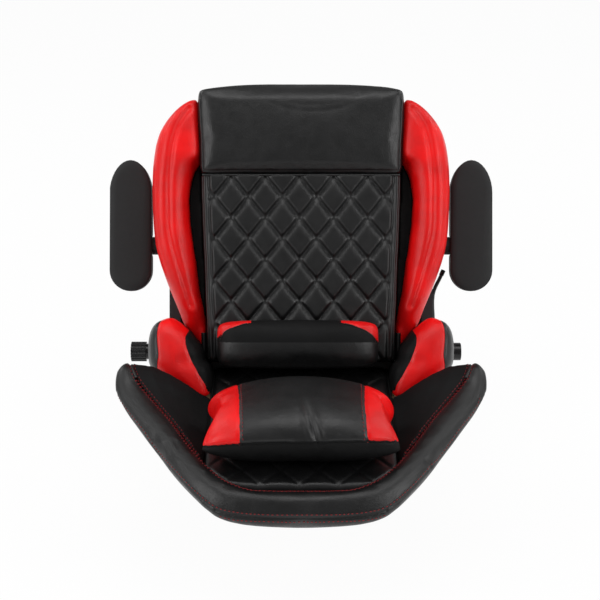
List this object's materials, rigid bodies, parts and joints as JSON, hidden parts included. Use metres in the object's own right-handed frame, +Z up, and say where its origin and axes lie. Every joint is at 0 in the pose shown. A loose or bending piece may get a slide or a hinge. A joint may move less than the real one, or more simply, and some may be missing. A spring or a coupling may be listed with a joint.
{
  "type": "gaming rocker chair",
  "caption": "Floor rocker chair with a bucket seat, quilted reclining back, flip-up armrests and two pillows.",
  "frame": {"origin": "middle of the chair's footprint, on the floor", "axes": "+Z up; -Y is the way the sitter faces; +X is the side with the lever, on the right of a front view"},
  "size_m": [0.727, 0.7638, 0.6842],
  "materials": {
    "black_leather": "satin",
    "matt_black_leather": "matte",
    "red_leather": "satin",
    "armrest_grey": "matte",
    "black_steel": "satin",
    "zinc_steel": "satin",
    "gloss_black": "gloss",
    "rubber_black": "matte",
    "plywood": "matte"
  },
  "bodies": {
    "seat_base": {"runner_left": "black_steel", "runner_right": "black_steel", "foot_pad_left": "rubber_black", "foot_pad_right": "rubber_black", "rear_bumper_left": "rubber_black", "rear_bumper_right": "rubber_black", "seat_side_panel_left": "matt_black_leather", "seat_side_panel_right": "matt_black_leather", "seat_rail_left": "black_steel", "seat_rail_right": "black_steel", "hinge_plate_left": "black_steel", "hinge_plate_right": "black_steel", "plate_bolt_front_left": "zinc_steel", "plate_bolt_front_right": "zinc_steel", "plate_bolt_rear_left": "zinc_steel", "plate_bolt_rear_right": "zinc_steel", "cross_tube_front": "black_steel", "cross_tube_rear": "black_steel", "seat_bolster": "black_leather", "seat_pad": "black_leather", "seat_board": "plywood", "cross_rail_front": "black_steel", "cross_rail_rear": "black_steel"},
    "backrest": {"quilted_pad": "black_leather", "head_pad": "black_leather", "rear_cover": "black_leather", "back_board": "matt_black_leather", "back_hoop": "black_steel", "wing_left": "red_leather", "wing_right": "red_leather", "insert_left": "black_leather", "insert_right": "black_leather", "hip_bolster_left": "red_leather", "hip_bolster_right": "red_leather", "recliner_disc_left": "zinc_steel", "recliner_disc_right": "zinc_steel", "hinge_arm_left": "black_steel", "hinge_arm_right": "black_steel", "armrest_bracket_left": "black_steel", "armrest_bracket_right": "black_steel", "armrest_bolt_left": "zinc_steel", "armrest_bolt_right": "zinc_steel"},
    "release": {"release_shaft": "zinc_steel", "release_knob": "gloss_black", "release_cap": "gloss_black", "lever_rod": "black_steel", "lever_grip": "gloss_black"},
    "armrest_left": {"armrest_shell_left": "armrest_grey", "armrest_pad_left": "armrest_grey"},
    "armrest_right": {"armrest_shell_right": "armrest_grey", "armrest_pad_right": "armrest_grey"},
    "lumbar_pillow": {"lumbar_pillow": "black_leather"},
    "loose_pillow": {"loose_pillow": "black_leather"}
  },
  "joints": [
    {"name": "recline", "type": "hinge", "parent": "seat_base", "child": "backrest", "pos_m": [0, 0.12365, 0.20928], "axis": [-1, 0, 0], "range_deg": [0, 50]},
    {"name": "release_lever", "type": "hinge", "parent": "backrest", "child": "release", "pos_m": [0, 0.12365, 0.20928], "axis": [-1, 0, 0], "range_deg": [0, 25], "stiffness_Nm_per_rad": 1, "springref_deg": -11.46},
    {"name": "armrest_flip_left", "type": "hinge", "parent": "backrest", "child": "armrest_left", "pos_m": [-0.273, 0.21792, 0.38946], "axis": [1, 0, 0], "range_deg": [0, 121]},
    {"name": "armrest_flip_right", "type": "hinge", "parent": "backrest", "child": "armrest_right", "pos_m": [0.273, 0.21792, 0.38946], "axis": [1, 0, 0], "range_deg": [0, 121]},
    {"name": "lumbar_slide", "type": "slide", "parent": "backrest", "child": "lumbar_pillow", "axis": [0, 0.515, 0.8572], "range_m": [0, 0.13]},
    {"name": "loose_pillow_lift", "type": "slide", "parent": "seat_base", "child": "loose_pillow", "axis": [0, 0.0872, 0.9962], "range_m": [0, 0.15]}
  ]
}
